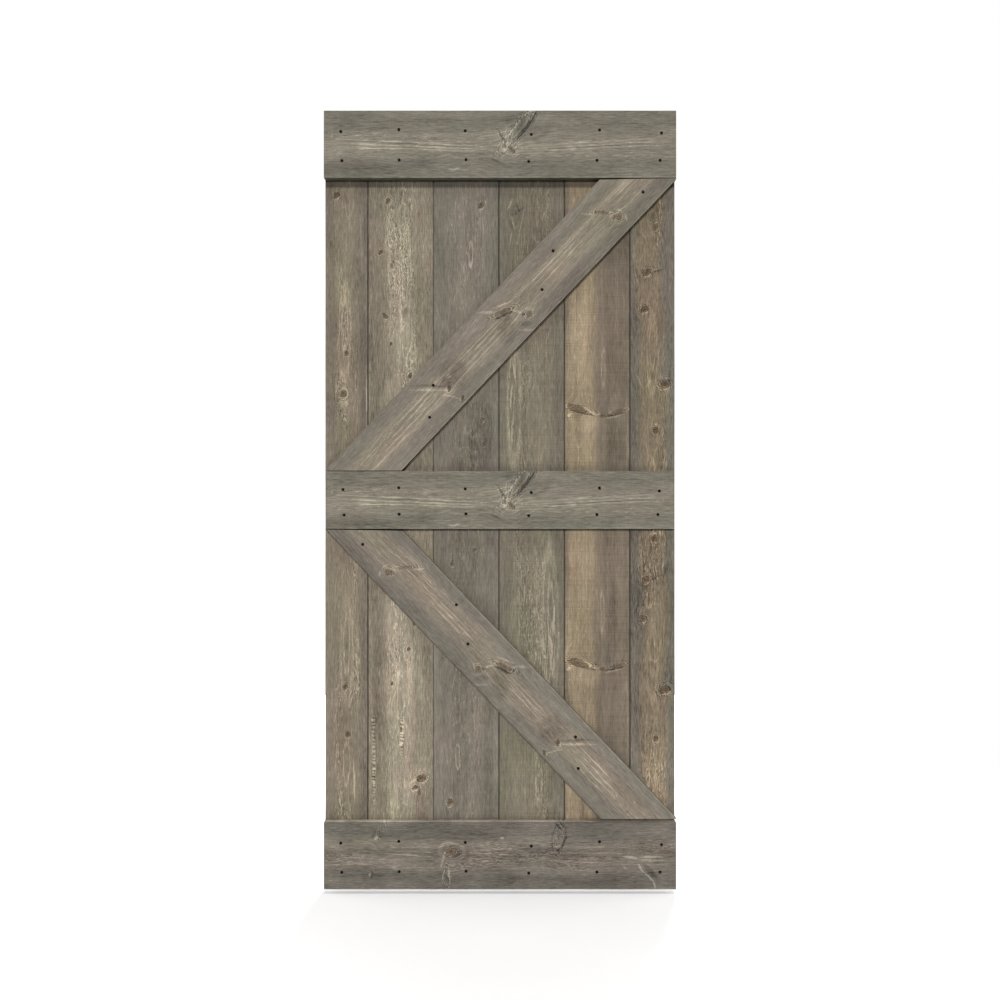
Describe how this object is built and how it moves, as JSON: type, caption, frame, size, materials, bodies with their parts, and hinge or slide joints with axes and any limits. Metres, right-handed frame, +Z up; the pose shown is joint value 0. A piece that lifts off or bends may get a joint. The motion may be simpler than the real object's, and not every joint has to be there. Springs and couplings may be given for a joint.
{
  "type": "sliding barn door slab",
  "caption": "Tall rustic sliding door slab of vertical tongue-and-groove planks held by rails and two diagonal braces that form a K, in grey-brown stained knotty pine.",
  "frame": {"origin": "bottom centre of the door: middle of its width, middle of its thickness, at its bottom edge", "axes": "+X to the right seen from the front, -Y towards the viewer (the side with rails and braces), +Z up"},
  "size_m": [0.965, 0.035, 2.134],
  "materials": {
    "plank_wood": "planed knotty pine with a thin weathered grey-brown stain, matt",
    "rail_wood": "planed knotty pine with a thin weathered grey-brown stain, matt",
    "brace_wood": "planed knotty pine with a thin weathered grey-brown stain, matt",
    "screw_black": "black phosphate, matt"
  },
  "bodies": {
    "root": {"plank_1": "plank_wood", "plank_2": "plank_wood", "plank_3": "plank_wood", "plank_4": "plank_wood", "plank_5": "plank_wood", "plank_6": "plank_wood", "top_rail": "rail_wood", "middle_rail": "rail_wood", "bottom_rail": "rail_wood", "upper_brace": "brace_wood", "lower_brace": "brace_wood", "top_rail_screws": "screw_black", "middle_rail_screws": "screw_black", "bottom_rail_screws": "screw_black", "upper_brace_screws": "screw_black", "lower_brace_screws": "screw_black"}
  },
  "joints": []
}
